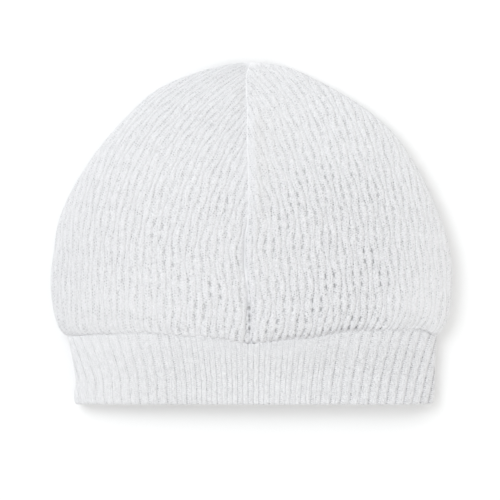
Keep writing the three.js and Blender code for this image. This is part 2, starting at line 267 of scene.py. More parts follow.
# %% [markdown]
# ## Folds, the seam and the sewn edge
#
# Knit cloth that lies flat is never quite smooth: soft swells and hollows, a tuft and creases at
# the top, a seam that draws in and stands proud higher up, a wavy join that slack cloth bulges
# over. Sculpting them would be quicker to try and harder to repeat than short tables. They fade
# towards the side folds, and the under side stays flat on the table.

# %% Swells, hollows and creases
FOLDS = table(
    "across from_rim wide long rise",
    (-12, 98, 8, 18, -0.5),  # hollow left of the seam
    (-25, 92, 8, 24, 0.4),  # swell of the left side
    (11, 84, 6, 30, -0.4),  # hollow right of the seam
    (30, 95, 10, 26, 0.4),  # swell of the right side
    (30, 42, 8, 7, 0.8),  # gathered puff over the band
    (52, 44, 6, 14, -0.6),  # valley beside the puff
    (67, 52, 8, 22, 0.4),  # swell by the right fold
    (10, 34, 8, 4, 0.6),  # puff at the foot of the seam
    (33, 131, 9, 7, -0.6),  # dent of the right shoulder
    (0.5, 138.5, 4.5, 4.5, 0.7),  # tuft at the crown
    (-3.2, 128, 1.3, 5, -0.8),  # crease beside the seam
    (-4, 125, 16, 15, 3.4),  # the cloth stands up along the top of the seam
    (0.8, 129, 5, 5, -1.3),  # hollow under the tuft
    (1.5, 119, 3, 4, 0.4),  # start of the raised seam
    (8, 112, 9, 12, 0.5),  # broad swell beside it
)


def humps(x, y, spots):
    """Round humps and hollows, added up."""
    total = np.zeros_like(x)
    for across, from_rim, wide, long, height in zip(*spots.values()):
        total += height * np.exp(-((x - across) / wide) ** 2 - ((y - from_rim) / long) ** 2)
    return total


print("swells, hollows and creases:", len(FOLDS["rise"]))

# %% The join to the band
SIDE_BLEND = 14.0  # over this width the folds of the cloth fade towards the side
EDGE_BLEND = 6.0  # and the wave of the join over this
EDGE_LINE = table(
    "across from_rim",
    (-80, 28.6), (-62, 29.6), (-47, 30.3), (-22, 28.7), (-1, 26.1),
    (20, 28.2), (42, 31.4), (68, 31.5), (80, 30.2),
)
TAUT_EDGE = table(  # stretched cloth does not bulge over the band
    "across share", (-80, 1), (-25, 0.9), (-8, 0.3), (8, 0), (45, 0), (60, 0.5), (80, 0.8),
)
BULGE = table("from_rim height", (29, 0), (30.8, 0.85), (34.5, 0.65), (40, 0))


def front_share(section, x, z, blend=SIDE_BLEND):
    """1 inside the upper side, 0 on the side folds and the under side."""
    return np.where(z < section["fold"], 0.0, ease(half_at(section, x) - np.abs(x), 0, blend))


def edge_shift(section, x, z):
    """How far the join in front lies from the plain height of the band."""
    line = between(EDGE_LINE, x)
    return (line - BAND_TOP) * front_share(section, x, z, EDGE_BLEND)


def taut_edge(x, from_rim):
    """How far stretched cloth stays below the plain bulge."""
    return between(TAUT_EDGE, x) * between(BULGE, from_rim)


print("lowest and highest place of the join:", min(EDGE_LINE["from_rim"]), max(EDGE_LINE["from_rim"]))

# %% The seam over the head
SEAM_WIDTH = 2.4
RIDGE_OFFSET = 3.0
RIDGE_WIDTH = 3.0
SEAM_RELIEF = table(
    "from_rim depth ridge",
    (26, 1.2, 0.2), (34, 2.0, 0.2), (50, 1.8, 0.3), (64, 1.5, 0.4), (78, 0.9, 1.2),
    (88, 0.3, 2.1), (104, 0.1, 2.3), (117, 0.1, 2.2), (123, 0.2, 1.2), (127, 0.3, 0.3),
    (136, 0.1, 0.2), (TOTAL_LENGTH, 0, 0),
)


def seam_rise(x, y, seam):
    """The seam draws the cloth in, and its right side stands proud."""
    depth = between(SEAM_RELIEF, y, "depth")
    ridge = between(SEAM_RELIEF, y, "ridge")
    groove = np.exp(-((x - seam) / SEAM_WIDTH) ** 2)
    proud = np.exp(-((x - seam - RIDGE_OFFSET) / RIDGE_WIDTH) ** 2)
    return ridge * proud - depth * groove


print("seam, deepest and highest, mm:", max(SEAM_RELIEF["depth"]), max(SEAM_RELIEF["ridge"]))

# %% [markdown]
# ## The carpet of points of one crown panel
#
# Subdividing a coarse mesh would spend as many points on the hidden back as on the front. Here
# the rows and columns are fine in front, wider apart behind, and very close along the seams and
# the lower edge, where the cut edges roll inwards.

# %% Rows and columns
WALES = 30  # ridges of knit from the front seam to the side fold
FRONT_COLUMNS = 200  # mesh columns from the front seam to the side fold
BACK_COLUMNS = 120  # from the side fold to the back seam, closer together near the fold
BACK_SHARES = np.linspace(0, 1, BACK_COLUMNS + 1)[1:]
BACK_SHARES = 0.6 * BACK_SHARES + 0.4 * BACK_SHARES ** 2
ROWS = 275
ROLL_STEPS = 10  # rows or columns close together along an edge, where it rolls
ROW_GUIDE = 0.66  # rows are evenly spaced along a line this far from seam to fold
EDGE_REACH = 16.0  # the wave of the join dies out over this height
FOLD_FADE = 5.0  # and the folds begin over this one
SEAM_CLEARANCE = 0.004  # the panels all but touch along the seam


def fine_first(share, count):
    """Shares from 0 to 1, the first steps close together."""
    close = np.linspace(0, share, ROLL_STEPS + 1)[:-1]
    return np.concatenate([close, np.linspace(share, 1, count + 1 - ROLL_STEPS)])


FRONT_SHARES = fine_first(0.015, FRONT_COLUMNS)
ROW_SHARES = fine_first(0.013, ROWS)


def crown_row(place, side):
    """One row of points, from the front seam to the back seam."""
    section = crown_section(place)
    front = walk(upper_line(section, side), FRONT_SHARES)
    back = walk(under_line(section, side), BACK_SHARES)
    x, z = np.concatenate([front, back]).T
    fade = 1 - ease(section["from_rim"] - BAND_TOP, 0, EDGE_REACH)
    calm = ease(section["from_rim"] - BAND_TOP, 0, FOLD_FADE)
    y = section["from_rim"] + fade * edge_shift(section, x, z)
    rise = calm * humps(x, y, FOLDS) + seam_rise(x, y, section["seam"])
    rise -= taut_edge(x, np.full_like(x, section["from_rim"]))
    z = np.maximum(z + rise * front_share(section, x, z), 0)
    return np.stack([x + side * SEAM_CLEARANCE / 2, y, z], axis=1)


def panel_points(side):
    """The places of the rows and the points of an outer face."""
    guide = int(FRONT_COLUMNS * ROW_GUIDE)
    lengths = lengths_along(np.array([crown_row(place, side)[guide] for place in TRIAL_PLACES]))
    places = np.interp(ROW_SHARES * lengths[-1], lengths, TRIAL_PLACES)
    return places, np.array([crown_row(place, side) for place in places])


print("points of an outer face:", (ROWS + 1) * (FRONT_COLUMNS + BACK_COLUMNS + 1))

# %% [markdown]
# ## Which stitch is where
#
# A knit is a grid of ridges, called wales, and rows, called courses. The wales stand upright, and
# the curved seam cuts them off one by one, so they meet it in a herringbone, where a flat texture
# would smear. So each point gets its wale number and its course, a length along the wale.

# %% Wales and courses of a panel
WALE_PITCH = 2.78  # mm from ridge to ridge where the panel narrows
FULL_WIDTH_TO = 64  # mm from the opening: up to here every wale lies in front
MARKS_PER_WALE = 4
SEAM_SLANT = table(  # degrees between the wales and the seam
    "from_rim left right",
    (60, 0, 0), (70, 6, 5), (82, 15, 11), (94, 22, 15), (107, 29, 18), (120, 36, 27),
    (127, 41, 33), (133, 46, 42), (138, 51, 49), (TOTAL_LENGTH, 58, 58),
)


def wales_left(from_rim, side):
    """How many wales the seam has cut off at each height, and how many lie in front."""
    y = np.linspace(0, TOTAL_LENGTH, 1000)
    half = crown_half(side, y)
    front = np.where(y < FULL_WIDTH_TO, WALES, np.minimum(WALES, half / WALE_PITCH))
    pitch = np.maximum(half, 0.5) / np.maximum(front, 0.2)
    slant = np.tan(np.radians(between(SEAM_SLANT, y, SIDES[side])))
    cut = np.cumsum(slant / pitch) * (y[1] - y[0])
    return np.interp(from_rim, y, cut), np.interp(from_rim, y, front)


def wale_numbers(places, side):
    """Wale number of every point, from 0 at the foot of the front seam."""
    from_rim = smooth_rows(CROWN_SECTIONS, "from_rim", places)
    cut, count = (column[:, None] for column in wales_left(from_rim, side))
    return cut + count * np.concatenate([FRONT_SHARES, 1 + BACK_SHARES])[None, :]


def courses(points, wales):
    """Length along the wale from the band, for every point."""
    marks = np.linspace(0, 2 * WALES, 2 * WALES * MARKS_PER_WALE + 1)
    lines = [
        np.stack([np.interp(marks, own, row[:, k]) for k in range(3)], axis=1)
        for own, row in zip(wales, points)]
    done = lengths_along(np.array(lines))
    return np.array([np.interp(own, marks, length) for own, length in zip(wales, done)])


print("wales cut off by the seam:", round(float(wales_left(TOTAL_LENGTH, 1)[0])))

# %% [markdown]
# ## How the cloth is pulled
#
# A knit gives in every direction, so its grid is never quite even on a real hat. Four places
# across and four heights say how far each panel is pulled, and a smooth curve each way moves the
# stitches without a jump.

# %% Pull of each panel
COURSE_PITCH = {-1: 1.233, 1: 1.022}  # mm: the left panel is stretched lengthwise more
PLACES = "from_rim seam third two_thirds fold"
SHARES = (0, 1 / 3, 2 / 3, 1)  # those places, as shares of the way from seam to fold
PULLED_WALES = {
    -1: table(PLACES, (34, -0.8, -1.9, -2.45, -0.4), (66, -0.4, -1.2, -1.6, 0.4),
              (98, -1.25, -1.7, -2.3, -1.85), (130, -1.2, -1.25, -1.65, -2.15)),
    1: table(PLACES, (34, 0.95, 0.3, 0.45, 1.5), (66, 0.45, 0.35, 0.85, 2.15),
             (98, 0.55, 0.5, 0.8, 1.5), (130, -0.45, -0.65, -0.7, -0.75)),
}
PULLED_COURSES = {
    -1: table(PLACES, (34, -1.5, -0.5, -2.5, -7.5), (66, 6.5, 1.5, -3.5, -10),
              (98, 13.5, 5.5, -0.5, -5), (130, 14, 8, 3, -1)),
    1: table(PLACES, (34, 11, 13, 15.5, 16.5), (66, 14.5, 13.5, 13.5, 14),
             (98, 16.5, 14, 13.5, 14.5), (130, 15, 13, 12, 12.5)),
}


def shares_of(places, at):
    """How much each of four places counts, for a smooth curve through their values."""
    shares = []
    for k, own in enumerate(places):
        others = [place for m, place in enumerate(places) if m != k]
        shares.append(np.prod([(at - other) / (own - other) for other in others], axis=0))
    return shares


def pulled(rows, points, side):
    """How far the knit is pulled at every point, in wales or courses."""
    half = np.maximum(crown_half(side, points[..., 1]), 1.0)
    across = shares_of(SHARES, np.clip(side * points[..., 0] / half, -0.1, 1.0))
    along = shares_of(rows["from_rim"], points[..., 1])
    total = np.zeros(points.shape[:2])
    for place, across_share in zip(PLACES.split()[1:], across):
        for value, along_share in zip(rows[place], along):
            total += value * across_share * along_share
    return total


print("most courses pulled:", max(PULLED_COURSES[1]["seam"]))

# %% [markdown]
# ## From points to a closed piece of cloth
#
# A Solidify modifier would double every facet. Each panel still has a real thickness: the fine
# outer face, a plainer inner face and an edge between them. That edge is zipped: every fine step
# on one side goes to the nearest coarse step on the other.

# %% Walls of cloth
CROWN_WALL = 1.6
INNER_STEP = 5
CREASE_ANGLE = math.radians(45)  # the cut edges stay crisp


def grid_faces(ids):
    """Quads between neighbouring rows and columns of point numbers."""
    corners = [ids[:-1, :-1], ids[:-1, 1:], ids[1:, 1:], ids[1:, :-1]]
    return np.stack(corners, axis=-1).reshape(-1, 4)


def zip_faces(fine, coarse):
    """Triangles between a fine line of point numbers and a coarse one."""
    step = (len(fine) - 1) // (len(coarse) - 1)
    faces = []
    for k in range(len(coarse) - 1):
        middle = k * step + step // 2
        for i in range(k * step, (k + 1) * step):
            faces.append((fine[i], fine[i + 1], coarse[k] if i < middle else coarse[k + 1]))
        faces.append((coarse[k], fine[middle], coarse[k + 1]))
    return faces


def panel_faces(outer, inner, side):
    """The outer face, the inner face and the edges between them."""
    outer_ids = np.arange(outer.shape[0] * outer.shape[1]).reshape(outer.shape[:2])
    inner_ids = outer_ids.size + np.arange(inner.shape[0] * inner.shape[1])
    inner_ids = inner_ids.reshape(inner.shape[:2])
    outer_ids[-1] = outer_ids[-1, 0]
    inner_ids[-1] = inner_ids[-1, 0]
    faces = [*grid_faces(outer_ids), *grid_faces(inner_ids)[:, ::-1]]
    faces += [f[::-1] for f in zip_faces(outer_ids[0], inner_ids[0])]
    faces += zip_faces(outer_ids[:, 0], inner_ids[:, 0])
    faces += [f[::-1] for f in zip_faces(outer_ids[:, -1], inner_ids[:, -1])]
    faces = [tuple(dict.fromkeys(f[::side])) for f in faces]
    return [f for f in faces if len(f) > 2]


def outward(points, side):
    """The outward direction, level with the seam plane and the lower edge."""
    across = np.gradient(points, axis=1)
    along = np.gradient(points, axis=0)
    normal = np.cross(across, along) * side
    normal[:, [0, -1], 0] = 0
    normal[0, :, 1] = 0
    normal[-1] = (0, 1, 0)
    return normal / np.linalg.norm(normal, axis=2, keepdims=True)


def inner_face(points, side):
    """A coarser face, one thickness of cloth below the outer face."""
    outer = points[::INNER_STEP, ::INNER_STEP]
    return outer - outward(outer, side) * CROWN_WALL


def placed(name, data):
    """A new object with its data, linked into the scene."""
    thing = bpy.data.objects.new(name, data)
    bpy.context.scene.collection.objects.link(thing)
    return thing


def cloth_object(name, points_mm, faces, fields):
    """A mesh in the frame, with a number for each point in each named field."""
    mesh = bpy.data.meshes.new(name)
    mesh.from_pydata(in_frame(points_mm).tolist(), [], [tuple(map(int, f)) for f in faces])
    for field, values in fields.items():
        mesh.attributes.new(field, "FLOAT", "POINT").data.foreach_set("value", values)
    mesh.validate()
    mesh.shade_smooth()
    mesh.set_sharp_from_angle(angle=CREASE_ANGLE)
    return placed(name, mesh)


def triangles(piece):
    """How many triangles a piece has."""
    return sum(len(p.vertices) - 2 for p in piece.data.polygons)


print(f"crown cloth {CROWN_WALL} mm thick")

# %% [markdown]
# ## Slack and taut cloth
#
# Slack cloth stands up in deep ridges, most of all where it is gathered into the band. Taut cloth
# lies flatter, and at the top and the ends of the join it is pulled almost smooth. One number for
# each point says how deep the ridges are, and both the relief and the colour, with its painted
# shade, read it.

# %% How deep the ridges are
GATHERS = table(
    "across more",
    (-80, 0), (-12, 0.1), (2, 0.7), (10, 0.9), (44, 0.8), (58, 0.3), (80, 0.1),
)
SLACK = table(
    "across ridges",
    (-82, 0.35), (-60, 0.7), (-25, 1.0), (0, 1.0), (30, 1.4), (52, 1.4), (64, 1.1), (80, 0.5),
)
TAUT_TOP = table("from_rim ridges", (30, 1.1), (80, 1.0), (110, 0.62), (TOTAL_LENGTH, 0.45))
CALM = table(  # spots where the cloth is pulled smooth
    "across from_rim wide long share",
    (-12, 138, 18, 8, 0.75),  # left of the tuft
    (4, 139, 6, 5, 0.5),  # on the tuft
    (0.5, 104, 3.5, 18, 0.7),  # on the raised seam
    (-68, 38, 26, 12, 0.6),  # left end of the join
    (70, 38, 14, 12, 0.6),  # right end of the join
)
MOST_CALM = 0.8
PLAIN_AT = {"seam": 0.4, "edge": 0.25, "top": 6.0}  # mm from each border to full relief


def slackness(x, y):
    """How deep the ridges stand at every point."""
    slack = between(SLACK, x) * between(TAUT_TOP, y)
    return slack * (1 - np.minimum(humps(x, y, CALM), MOST_CALM))


def knit_strength(edge, seam):
    """1 inside a panel, 0 at its seams, its lower edge and the top."""
    top = edge.max(axis=0) - edge
    borders = {"seam": seam, "edge": edge, "top": top}
    return math.prod(ease(away, 0.0, PLAIN_AT[border]) for border, away in borders.items())


print("calm spots:", len(CALM["share"]))

# %% [markdown]
# ## Sewn edges
#
# Cut edges turn inwards at a seam and leave a fine valley, and the ends of the gathered ridges
# hang over the join like fingertips. A dark line painted there would look right from above only.

# %% Rolled edges and fingertips
ROLL_REACH = 1.4  # the cut edges turn inwards over this width
HANG_REACH = 3.0  # and the fingertips begin this far above the join
SEAM_ROLL = table(
    "from_rim depth",
    (26, 0.7), (42, 0.9), (50, 0.3), (57, 0.6), (72, 0.6), (80, 0), (TOTAL_LENGTH, 0),
)
EDGE_ROLL = table(
    "across depth",
    (-80, 0.15), (-25, 0.15), (-5, 0.4), (10, 0.7), (38, 0.7), (50, 0.45), (80, 0.3),
)
HANG = table(
    "across depth",
    (-80, 0.05), (-20, 0.15), (0, 0.5), (12, 0.7), (40, 0.7), (54, 0.35), (80, 0.2),
)


def near(distance, reach):
    """1 at a border, falling in a curve to 0."""
    return np.clip(1 - distance / reach, 0, 1) ** 2


def rolled(points, side, edge, seam):
    """Turns the seam edges and the lower edge of a panel inwards."""
    at_seam = between(SEAM_ROLL, points[..., 1])
    at_edge = between(EDGE_ROLL, points[..., 0])
    sink = np.maximum(at_seam * near(seam, ROLL_REACH), at_edge * near(edge, ROLL_REACH))
    moved = points - outward(points, side) * sink[..., None]
    moved[..., 2] = np.maximum(moved[..., 2], 0)
    return moved


def fingertips(points, wales):
    """How far the end of each ridge hangs over the join."""
    x, z = points[0, :, 0], points[0, :, 2]
    front = front_share(crown_section(0.0), x, z + 0.01)
    return between(HANG, x) * front * np.cos(math.pi * wales[0]) ** 2


print("fingertips, mm:", max(HANG["depth"]))

# %% The two crown panels, still plain
join = {}  # side: places across and how far the crown hangs over the band there


def crown_panel(name, side):
    """One panel as a closed mesh that knows its wales and courses."""
    places, outer = panel_points(side)
    wales = wale_numbers(places, side)
    course = courses(outer, wales) / COURSE_PITCH[side]
    course += pulled(PULLED_COURSES[side], outer, side)
    wales = wales + pulled(PULLED_WALES[side], outer, side)
    inner = inner_face(outer, side)
    edge, across = lengths_along(outer), lengths_along(outer, 1)
    seam = np.minimum(across, across[:, -1:] - across)  # to the closer of the two seams
    hang = fingertips(outer, wales)
    join[side] = outer[0, :FRONT_COLUMNS, 0], hang[:FRONT_COLUMNS]
    outer = rolled(outer, side, edge, seam)
    outer[..., 1] -= hang * near(edge, HANG_REACH)
    x, y = outer[..., 0], outer[..., 1]
    numbers = {
        "wale": wales, "course": course, "edge": edge, "seam": seam,
        "knit": knit_strength(edge, seam),
        "gather": between(GATHERS, x),
        "slack": slackness(x, y),
    }
    fields = {key: np.append(value, np.zeros(inner.size // 3)) for key, value in numbers.items()}
    points = np.concatenate([outer.reshape(-1, 3), inner.reshape(-1, 3)])
    return cloth_object(name, points, panel_faces(outer, inner, side), fields)


panels = {"crown_left": crown_panel("openwork_left", -1)}
panels["crown_right"] = crown_panel("openwork_right", 1)
for name, piece in panels.items():
    print(name, "triangles before knitting:", triangles(piece))

# %% [markdown]
# ## The band
#
# The band is a strip of two-by-two rib, about 312 by 62 millimetres, folded lengthwise. It is
# modelled just so: an outer layer, a rounded fold at the opening, an inner layer and a hair of air
# between them, in rows that go once round. It follows the crown where they are sewn together, with
# a shallow dent along it and a rim that curls up towards the right. The rib is stretched smooth at
# the left, pulled open in the middle, and closed up at the right.

# %% Profile of the doubled strip
LAYER = 1.1  # thickness of one layer of rib
LAYERS_APART = 0.2
BAND_WALL = 2 * LAYER + LAYERS_APART
PROFILE_ROWS = {"lip": 8, "outside": 50, "fold": 10, "inside": 14, "hidden": 5}


def band_profile():
    """Rows of height, depth below the outer face and strength of the ribs."""
    round_off = BAND_WALL / 2
    lip = np.linspace(0, ROLL_REACH, PROFILE_ROWS["lip"])[:-1]
    outside = np.linspace(BAND_TOP - ROLL_REACH, round_off, PROFILE_ROWS["outside"])
    inside = np.linspace(round_off, BAND_TOP, PROFILE_ROWS["inside"])
    hidden = np.linspace(round_off, BAND_TOP, PROFILE_ROWS["hidden"])
    rows = [(BAND_TOP - d, 0.0, ease(d, 0, 1.0)) for d in lip]
    rows += [(y, 0.0, 1.0) for y in outside]
    for angle in np.linspace(0, math.pi, PROFILE_ROWS["fold"])[1:-1]:
        height = round_off * (1 - math.sin(angle))
        depth = round_off * (1 - math.cos(angle))
        rows.append((height, depth, 1 - ease(angle, math.pi / 2, math.pi)))
    rows += [(y, BAND_WALL, 0.0) for y in inside]
    rows += [(y, BAND_WALL - LAYER, 0.0) for y in hidden[::-1]]
    rows.append((round_off - LAYERS_APART / 2, round_off, 0.0))
    rows += [(y, LAYER, 0.0) for y in hidden]
    return rows


print("rows round the doubled strip:", len(band_profile()))

# %% One ring of the band
LOOP_SAMPLES = 1500
RIB_SPREAD = 0.11  # ribs stand wider apart at the middle than at the sides, by this share
RIB_LEAN = {"left": 0.085, "right": 0.13}
LEAN_CURVE = 1.4
LEAN_PIVOT = 0.4
JOIN_CLEARANCE = 0.01
STEP_REACH = 8.0  # the band rises to the crown over this height
CURL_REACH = 9.0  # the rim curls up below this height
DENT_AT = 13.0
DENT_HALF = 7.0
STEP_DOWN = table("across depth", (-80, 0), (-25, 0), (0, 0.25), (40, 0.3), (55, 0.1), (80, 0.05))
BAND_ROLL = table(
    "across depth", (-80, 0.02), (-20, 0.05), (0, 0.2), (40, 0.25), (54, 0.1), (80, 0.05))
BAND_BEND = table(
    "across dent curl",
    (-80, 0, 0), (-45, 0.2, 0), (-15, 1.0, 0.2), (30, 1.7, 1.0), (52, 1.3, 2.4), (66, 0.8, 3.2),
    (80, 0.5, 2.0),
)


def overhung(section, x, z):
    """How far the crown hangs over the top edge of the band."""
    places, depths = (np.concatenate([join[-1][k][::-1], join[1][k]]) for k in (0, 1))
    return np.interp(x, places, depths) * (front_share(section, x, z) > 0)


def around_band(section, columns):
    """Points once round the band's outer face, and the direction of the line there."""
    halves = []
    for side in (1, -1):
        line = np.vstack([upper_line(section, side), under_line(section, side)])
        halves.append(walk(line, np.linspace(0, 1, LOOP_SAMPLES)))
    around = np.vstack([halves[0], halves[1][-2:0:-1]])
    turn = columns + RIB_SPREAD * np.sin(2 * math.tau * columns) / (2 * math.tau)
    lean = np.where(np.mod(columns, 1.0) < 0.5, RIB_LEAN["right"], RIB_LEAN["left"])
    up = (section["from_rim"] / BAND_TOP) ** LEAN_CURVE - LEAN_PIVOT
    turn += lean / math.tau * np.sin(math.tau * columns) * up
    place = np.mod(turn, 1.0) * len(around)
    sample = np.arange(len(around) + 1)
    closed = np.vstack([around, around[:1]])
    x, z = (np.interp(place, sample, closed[:, k]) for k in (0, 1))
    run = np.stack([np.roll(x, -1) - np.roll(x, 1), np.roll(z, -1) - np.roll(z, 1)], axis=1)
    return x, z, run / np.linalg.norm(run, axis=1, keepdims=True)


def band_rise(height, x):
    """How far the upper side is lifted: its step to the crown, dent and curl."""
    step = upper_height(crown_section(0.0), x) - upper_height(band_section(BAND_TOP), x)
    step -= between(STEP_DOWN, x)
    bend = between(BAND_BEND, x, "curl") * near(height, CURL_REACH)
    bend -= between(BAND_BEND, x, "dent") * math.exp(-((height - DENT_AT) / DENT_HALF) ** 2)
    return bend + step * ease(height, BAND_TOP - STEP_REACH, BAND_TOP)


def band_ring(height, depth, columns):
    """One ring of points, some depth below the outer face."""
    section = band_section(height)
    x, z, run = around_band(section, columns)
    z = z + band_rise(height, x) * front_share(section, x, z)
    shift = edge_shift(section, x, z) - JOIN_CLEARANCE
    edge = BAND_TOP - height
    y = height + height / BAND_TOP * shift - overhung(section, x, z) * near(edge, HANG_REACH)
    roll = between(BAND_ROLL, x) * near(edge, ROLL_REACH)
    depth = max(depth, 0.0) + (roll if depth < LAYER else 0.0)
    return np.stack([x + run[:, 1] * depth, y, np.maximum(z - run[:, 0] * depth, 0)], axis=1)


print("curl of the rim, mm:", max(BAND_BEND["curl"]))

# %% The band, still plain
RIB_COUNT = 76
RIB_STEPS = 12  # mesh columns to a rib
FADE_FROM = 13.0  # mm below the join where the ribs begin to fade, and where they are faint
FADE_TO = 4.0
SLACK_RIB = table(
    "across ribs",
    (-78, 0.05), (-66, 0.12), (-56, 0.35), (-46, 0.65), (-36, 0.85), (-20, 0.7), (5, 0.65),
    (35, 1.05), (78, 1.25),
)
MIDDLE_LINE = table(
    "across line", (-80, 0), (-42, 0.1), (-24, 0.8), (0, 1), (25, 0.7), (45, 0.2), (80, 0.1))
SMOOTH_TOP = table(
    "across fade",
    (-80, 0.2), (-40, 0.25), (-24, 0.5), (-12, 0.9), (14, 0.9), (30, 0.6), (45, 0.3), (80, 0.2),
)


def rib_band(name):
    """The doubled strip as a mesh that knows its ribs and heights."""
    profile = band_profile()
    count = RIB_COUNT * RIB_STEPS
    columns = np.arange(count) / count + 0.5  # the strip's ends meet at the back
    rings = np.array([band_ring(height, depth, columns) for height, depth, _ in profile])
    ids = np.arange(rings.shape[0] * count).reshape(-1, count)
    loop = np.vstack([ids, ids[:1]])
    loop = np.hstack([loop, loop[:, :1]])
    height = rings[:, :, 1].ravel()
    x = rings[:, :, 0].ravel()
    fade = between(SMOOTH_TOP, x)
    fade *= ease(height, BAND_TOP - FADE_FROM, BAND_TOP - FADE_TO)
    fields = {
        "rib": np.tile(columns * RIB_COUNT, len(profile)),
        "height": height,
        "knit": np.repeat([row[2] for row in profile], count) * (1 - fade),
        "slack": between(SLACK_RIB, x),
        "middle": between(MIDDLE_LINE, x),
    }
    return cloth_object(name, rings.reshape(-1, 3), grid_faces(loop)[:, ::-1], fields)


band = rib_band("folded_rib")
print("folded_rib triangles before knitting:", triangles(band))

# %% [markdown]
# ## Formulas in node trees
#
# Displacing with a texture would need an image of the knit. Here the knit is a formula in two
# numbers, the wale and the course, written once for Geometry Nodes and for materials. One helper
# adds a node with its settings and links, and a small class lets Python's operators build the
# Math nodes. The tree reads the numbers stored on a point and sinks it along its normal.

# %% Helpers for node trees


def add(tree, kind, inputs=(), **settings):
    """Adds a node, sets its properties, then links or sets its inputs."""
    node = tree.nodes.new(kind)
    for name, value in settings.items():
        setattr(node, name, value)
    for key, source in dict(inputs).items():
        source = getattr(source, "socket", source)
        if isinstance(source, bpy.types.NodeSocket):
            tree.links.new(source, node.inputs[key])
        else:
            node.inputs[key].default_value = source
    return node


class Field:
    """A socket to calculate with: each operator adds one Math node to the tree."""

    def __init__(self, tree, socket):
        self.tree, self.socket = tree, socket

    def math(self, operation, *others):
        inputs = enumerate((self, *others))
        node = add(self.tree, "ShaderNodeMath", inputs, operation=operation)
        return Field(self.tree, node.outputs[0])

    __add__ = __radd__ = partialmethod(math, "ADD")
    __sub__ = partialmethod(math, "SUBTRACT")
    __mul__ = __rmul__ = partialmethod(math, "MULTIPLY")
    __truediv__ = partialmethod(math, "DIVIDE")
    __pow__ = partialmethod(math, "POWER")
    __abs__ = partialmethod(math, "ABSOLUTE")

    def __rsub__(self, other):
        return self.math("MULTIPLY_ADD", -1.0, other)

    def eased(self, low, high):
        """0 at low and 1 at high, smooth in between."""
        inputs = {0: self, 1: low, 2: high}
        node = add(self.tree, "ShaderNodeMapRange", inputs, interpolation_type="SMOOTHSTEP")
        return Field(self.tree, node.outputs[0])


def dice(tree, column, row):
    """Random numbers, the same all over one cell of a pattern."""
    cell = add(tree, "ShaderNodeCombineXYZ", {0: column, 1: row}).outputs[0]
    return add(tree, "ShaderNodeTexWhiteNoise", {"Vector": cell}, noise_dimensions="2D").outputs


print("a Field's operators:", ", ".join(name for name in vars(Field) if name.startswith("__r")))

# %% [markdown]
# ## The openwork stitch
#
# Pointelle rib is a rib knit in which pairs of loops are carried sideways, which leaves small
# round holes and pushes the ridges aside. The holes come in clusters, two columns wide, either
# side of every second wale, set off by half a repeat like bricks. One cell of the repeat is
# charted, and folding every place into that cell gives the whole cloth.

# %% The formula of the openwork
REPEAT = 18.0  # courses from one cluster to the next along a wale
CLUSTER_WALES = 2.0  # wales from one column of clusters to the next
GROOVE_MEAN = 0.45  # from the middle of a cluster to its grooves, in wales,
GROOVE_SWING = 0.17  # wider beside the eyelets, narrower between clusters
GROOVE_HALF = 0.42  # from a groove to where the ridge beside it is full
GROOVE_ROUND = 1.9  # how round the ridges are across
CREASE_HALF = 0.13  # the line of painted shade at the bottom of a groove
EYELET_RIM = (0.2, 1.6)
CLUSTER_UP = (4.5, 7.5)  # a cluster ends between these courses
CLUSTER_ASIDE = (0.1, 0.5)
EYELETS = table(  # place in the cluster, in wales and courses, then size and strength
    "aside up half_wide half_high strength",
    (0.61, 2.1, 0.135, 1.3, 1.0),
    (0.61, -2.1, 0.135, 1.1, 1.0),
    (0.62, -5.0, 0.10, 0.7, 0.5),
)


def openwork(wale, course):
    """Ridge height, eyelet, crease and cluster, 0 to 1."""
    cell = ((wale + 1.0) / CLUSTER_WALES).math("FLOOR")
    aside = abs(wale - cell * CLUSTER_WALES)
    odd = cell.math("FLOORED_MODULO", 2.0)
    up = (course + odd * (REPEAT / 2)).math("WRAP", REPEAT / 2, -REPEAT / 2)
    swing = (up * (math.tau / REPEAT)).math("COSINE") * GROOVE_SWING
    own = abs(aside - swing - GROOVE_MEAN)
    neighbours = abs(2.0 - aside + swing - GROOVE_MEAN)
    gap = own.math("MINIMUM", neighbours)
    ridge = 1.0 - (1.0 - gap / GROOVE_HALF).math("MAXIMUM", 0.0) ** GROOVE_ROUND
    crease = 1.0 - gap.eased(0.0, CREASE_HALF)
    number = ((course - up) / (REPEAT / 2) + 0.5).math("FLOOR")
    luck = Field(cell.tree, dice(cell.tree, cell, number)["Value"])
    cluster = 1.0 - abs(up).eased(*CLUSTER_UP)
    cluster = cluster * (1.0 - abs(aside - EYELETS["aside"][2]).eased(*CLUSTER_ASIDE))
    eyelet = None
    for place, height, wide, high, strength in zip(*EYELETS.values()):
        away = abs((up - height) / high) ** 2.0 + abs((aside - place) / wide) ** 2.0
        hole = (1.0 - away.eased(*EYELET_RIM)) * strength
        eyelet = hole if eyelet is None else eyelet.math("MAXIMUM", hole)
    return ridge, eyelet * (luck * 0.5 + 0.5), crease, cluster


print("eyelets to a column of a cluster:", len(EYELETS["up"]))

# %% Geometry Nodes: a tree with named inputs


